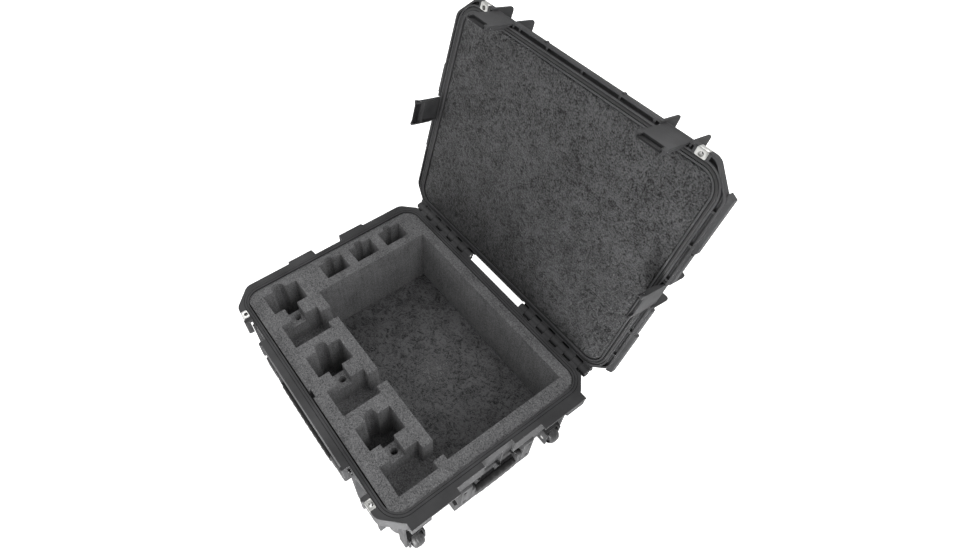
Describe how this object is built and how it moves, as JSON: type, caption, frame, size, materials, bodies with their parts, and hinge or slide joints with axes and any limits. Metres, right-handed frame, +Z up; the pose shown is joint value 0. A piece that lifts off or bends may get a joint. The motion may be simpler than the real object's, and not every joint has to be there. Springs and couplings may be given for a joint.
{
  "type": "drone carrying case",
  "caption": "Wheeled hard case standing open, with latches, folding carry handles, a pull handle and a cut foam insert for a drone and its batteries.",
  "frame": {"origin": "centre of the underside, on the plane of the runners", "axes": "+X along the length, towards the wheel end; +Y towards the hinge; +Z up"},
  "size_m": [0.621, 0.6631, 0.6979],
  "materials": {
    "shell_plastic": "fine moulded texture",
    "charcoal_foam": "cut closed-cell foam",
    "liner_foam": "pebbled skin on foam",
    "gasket_rubber": "smooth",
    "latch_plastic": "satin",
    "trigger_plastic": "satin",
    "grip_rubber": "soft touch",
    "stainless": "bright",
    "tube_aluminium": "anodised",
    "tyre_rubber": "smooth",
    "hub_nylon": "satin"
  },
  "bodies": {
    "base": {"base_shell": "shell_plastic", "foam_insert": "charcoal_foam", "foam_floor_pad": "charcoal_foam", "hinge_pin_left": "stainless", "hinge_pin_right": "stainless", "base_padlock_insert_left": "stainless", "base_padlock_insert_right": "stainless", "front_handle_bracket_left": "latch_plastic", "front_handle_bracket_right": "latch_plastic", "front_handle_pins": "stainless", "front_handle_screws": "stainless", "end_handle_bracket_front": "latch_plastic", "end_handle_bracket_rear": "latch_plastic", "end_handle_pins": "stainless", "end_handle_screws": "stainless", "wheel_housing_front": "latch_plastic", "wheel_housing_rear": "latch_plastic", "wheel_axle_front": "stainless", "wheel_axle_rear": "stainless", "pull_handle_outer_guides": "latch_plastic", "pull_handle_inner_guides": "latch_plastic", "pressure_valve_body": "latch_plastic", "pressure_valve_cap": "trigger_plastic"},
    "lid": {"lid_shell": "shell_plastic", "lid_gasket": "gasket_rubber", "lid_foam": "liner_foam", "lid_padlock_insert_left": "stainless", "lid_padlock_insert_right": "stainless", "latch_pin_front_left": "stainless", "latch_pin_front_right": "stainless", "latch_pin_left_end": "stainless", "latch_pin_wheel_end": "stainless"},
    "front_handle": {"front_handle_frame": "latch_plastic", "front_handle_grip": "grip_rubber"},
    "end_handle": {"end_handle_frame": "latch_plastic", "end_handle_grip": "grip_rubber"},
    "wheel_front": {"wheel_tyre_front": "tyre_rubber", "wheel_hub_front": "hub_nylon"},
    "wheel_rear": {"wheel_tyre_rear": "tyre_rubber", "wheel_hub_rear": "hub_nylon"},
    "pull_handle": {"pull_handle_tubes": "tube_aluminium", "pull_handle_grip": "latch_plastic"},
    "pull_button": {"pull_handle_button": "trigger_plastic"},
    "latch_front_left": {"latch_front_left": "latch_plastic", "trigger_pin_front_left": "stainless"},
    "trigger_front_left": {"trigger_front_left": "trigger_plastic"},
    "latch_front_right": {"latch_front_right": "latch_plastic", "trigger_pin_front_right": "stainless"},
    "trigger_front_right": {"trigger_front_right": "trigger_plastic"},
    "latch_left_end": {"latch_left_end": "latch_plastic", "trigger_pin_left_end": "stainless"},
    "trigger_left_end": {"trigger_left_end": "trigger_plastic"},
    "latch_wheel_end": {"latch_wheel_end": "latch_plastic", "trigger_pin_wheel_end": "stainless"},
    "trigger_wheel_end": {"trigger_wheel_end": "trigger_plastic"}
  },
  "joints": [
    {"name": "lid_hinge", "type": "hinge", "parent": "base", "child": "lid", "pos_m": [0, 0.2386, 0.2264], "axis": [1, 0, 0], "range_deg": [0, 104.8]},
    {"name": "latch_front_left_hinge", "type": "hinge", "parent": "lid", "child": "latch_front_left", "pos_m": [-0.188, 0.37216, 0.67476], "axis": [-1, 0, 0], "range_deg": [-4, 100]},
    {"name": "trigger_front_left_pivot", "type": "hinge", "parent": "latch_front_left", "child": "trigger_front_left", "pos_m": [-0.188, 0.31303, 0.68976], "axis": [1, 0, 0], "range_deg": [0, 6], "stiffness_Nm_per_rad": 0.03, "springref_deg": -8.59},
    {"name": "latch_front_right_hinge", "type": "hinge", "parent": "lid", "child": "latch_front_right", "pos_m": [0.188, 0.37216, 0.67476], "axis": [-1, 0, 0], "range_deg": [-4, 100]},
    {"name": "trigger_front_right_pivot", "type": "hinge", "parent": "latch_front_right", "child": "trigger_front_right", "pos_m": [0.188, 0.31303, 0.68976], "axis": [1, 0, 0], "range_deg": [0, 6], "stiffness_Nm_per_rad": 0.03, "springref_deg": -8.59},
    {"name": "latch_left_end_hinge", "type": "hinge", "parent": "lid", "child": "latch_left_end", "pos_m": [-0.2945, 0.31367, 0.45336], "axis": [0, -0.2554, -0.9668], "range_deg": [-4, 100]},
    {"name": "trigger_left_end_pivot", "type": "hinge", "parent": "latch_left_end", "child": "trigger_left_end", "pos_m": [-0.2939, 0.25469, 0.46894], "axis": [0, 0.2554, 0.9668], "range_deg": [0, 6], "stiffness_Nm_per_rad": 0.03, "springref_deg": -8.59},
    {"name": "latch_wheel_end_hinge", "type": "hinge", "parent": "lid", "child": "latch_wheel_end", "pos_m": [0.2945, 0.31367, 0.45336], "axis": [0, 0.2554, 0.9668], "range_deg": [-4, 100]},
    {"name": "trigger_wheel_end_pivot", "type": "hinge", "parent": "latch_wheel_end", "child": "trigger_wheel_end", "pos_m": [0.2939, 0.25469, 0.46894], "axis": [0, -0.2554, -0.9668], "range_deg": [0, 6], "stiffness_Nm_per_rad": 0.03, "springref_deg": -8.59},
    {"name": "front_handle_fold", "type": "hinge", "parent": "base", "child": "front_handle", "pos_m": [0, -0.234, 0.168], "axis": [-1, 0, 0], "range_deg": [0, 90]},
    {"name": "end_handle_fold", "type": "hinge", "parent": "base", "child": "end_handle", "pos_m": [0.2975, 0, 0.142], "axis": [0, -1, 0], "range_deg": [0, 90]},
    {"name": "wheel_front_spin", "type": "hinge", "parent": "base", "child": "wheel_front", "pos_m": [0.279, -0.1775, 0.027], "axis": [0, 1, 0], "continuous": true},
    {"name": "wheel_rear_spin", "type": "hinge", "parent": "base", "child": "wheel_rear", "pos_m": [0.279, 0.1775, 0.027], "axis": [0, 1, 0], "continuous": true},
    {"name": "pull_handle_slide", "type": "slide", "parent": "base", "child": "pull_handle", "axis": [-1, 0, 0], "range_m": [0, 0.29]},
    {"name": "pull_button_press", "type": "slide", "parent": "pull_handle", "child": "pull_button", "axis": [1, 0, 0], "range_m": [0, 0.003], "stiffness_N_per_m": 400, "springref_m": -0.003}
  ]
}
